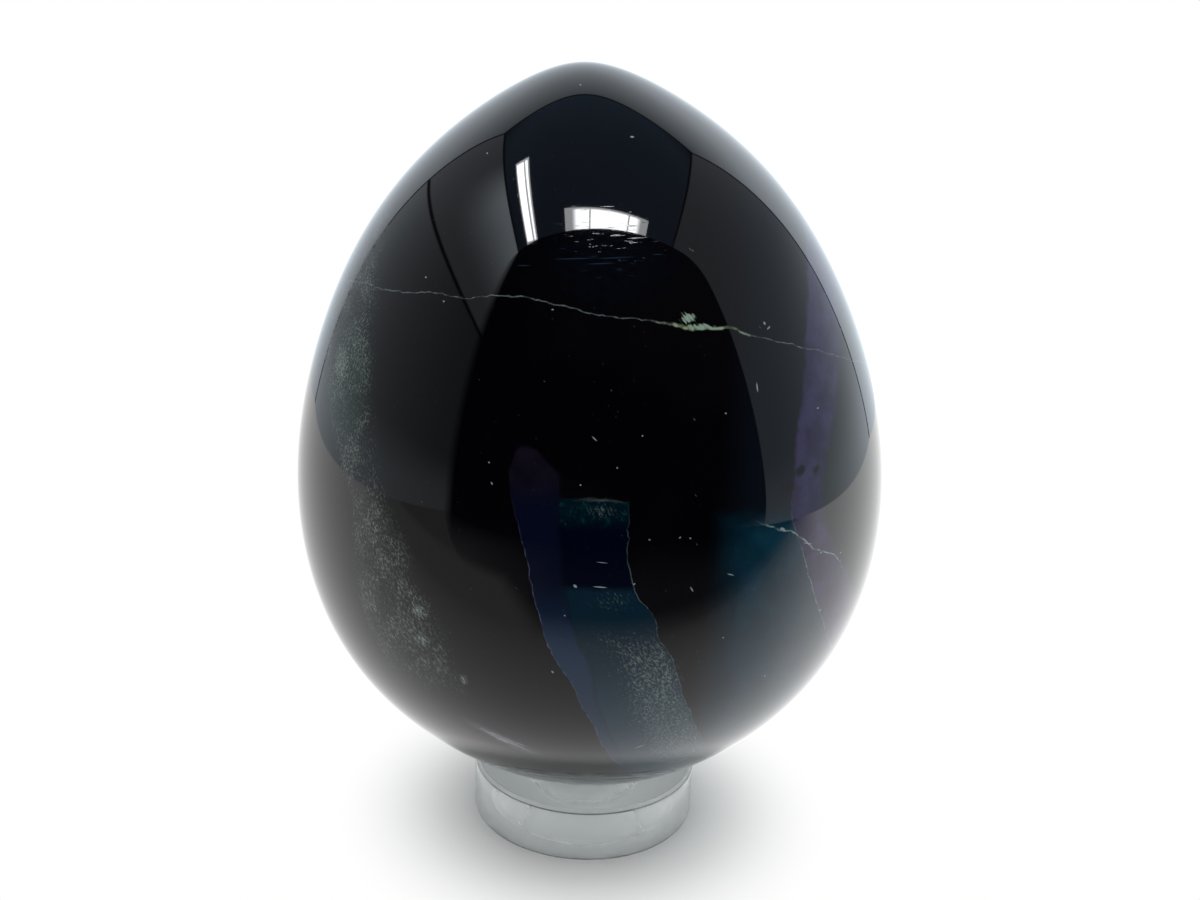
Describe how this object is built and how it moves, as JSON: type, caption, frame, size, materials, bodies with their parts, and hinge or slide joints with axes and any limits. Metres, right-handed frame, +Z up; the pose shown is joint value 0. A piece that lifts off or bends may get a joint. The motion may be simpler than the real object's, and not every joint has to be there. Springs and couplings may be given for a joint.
{
  "type": "polished stone egg on a ring stand",
  "caption": "Polished dark banded stone egg that stands blunt end down, leaning slightly, on a low clear acrylic ring, and lifts off it.",
  "frame": {"origin": "centre of the ring's underside, on the ring's axis, on the surface that it stands on", "axes": "+Z up along the ring's axis, -Y towards the viewer of the picture, +X to the right; the egg's tip leans towards -X"},
  "size_m": [0.0625, 0.0624, 0.0833],
  "materials": {
    "polished_fluorite": "mirror-polished near-black violet stone with blue-green bands, pale flecks and one thin healed vein",
    "clear_acrylic": "clear cast acrylic with polished walls and chamfers"
  },
  "bodies": {
    "stand": {"ring_stand": "clear_acrylic"},
    "egg": {"egg": "polished_fluorite"}
  },
  "joints": [
    {"name": "egg_lift", "type": "slide", "parent": "stand", "child": "egg", "axis": [0, 0, 1], "range_m": [0, 0.04]}
  ]
}
